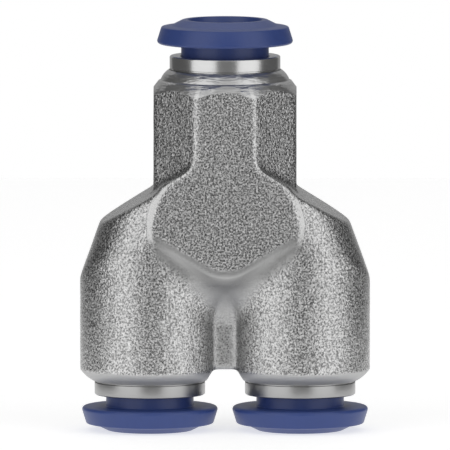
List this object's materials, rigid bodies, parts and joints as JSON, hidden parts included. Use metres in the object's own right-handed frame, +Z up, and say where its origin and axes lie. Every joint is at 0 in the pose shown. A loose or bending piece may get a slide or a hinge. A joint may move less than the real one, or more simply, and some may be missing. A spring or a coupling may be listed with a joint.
{
  "type": "tubing y connector",
  "caption": "Forged metal Y fitting that branches a tube line into parallel outlets, with push-in release collets at its ports.",
  "frame": {"origin": "middle of the plane that the two lower collets stand on", "axes": "+Z up along the single port, +X towards the right-hand lower port, front face towards -Y"},
  "size_m": [0.027, 0.0132, 0.0384],
  "materials": {
    "forged_nickel": "nickel plated over a blasted forging skin, ends turned",
    "turned_nickel": "nickel plated over a fine turned surface",
    "blue_acetal": "satin moulded",
    "claw_steel": "bright stamped spring steel",
    "black_seal_rubber": "matte moulded"
  },
  "bodies": {
    "body": {"forged_body": "forged_nickel", "top_retaining_sleeve": "turned_nickel", "top_guide_ring": "turned_nickel", "top_claw_ring": "claw_steel", "top_backing_ring": "turned_nickel", "top_o_ring": "black_seal_rubber", "left_retaining_sleeve": "turned_nickel", "left_guide_ring": "turned_nickel", "left_claw_ring": "claw_steel", "left_backing_ring": "turned_nickel", "left_o_ring": "black_seal_rubber", "right_retaining_sleeve": "turned_nickel", "right_guide_ring": "turned_nickel", "right_claw_ring": "claw_steel", "right_backing_ring": "turned_nickel", "right_o_ring": "black_seal_rubber"},
    "top_collet": {"top_release_collet": "blue_acetal"},
    "left_collet": {"left_release_collet": "blue_acetal"},
    "right_collet": {"right_release_collet": "blue_acetal"}
  },
  "joints": [
    {"name": "top_collet_press", "type": "slide", "parent": "body", "child": "top_collet", "axis": [0, 0, -1], "range_m": [0, 0.00085]},
    {"name": "left_collet_press", "type": "slide", "parent": "body", "child": "left_collet", "axis": [0, 0, 1], "range_m": [0, 0.00085]},
    {"name": "right_collet_press", "type": "slide", "parent": "body", "child": "right_collet", "axis": [0, 0, 1], "range_m": [0, 0.00085]}
  ]
}
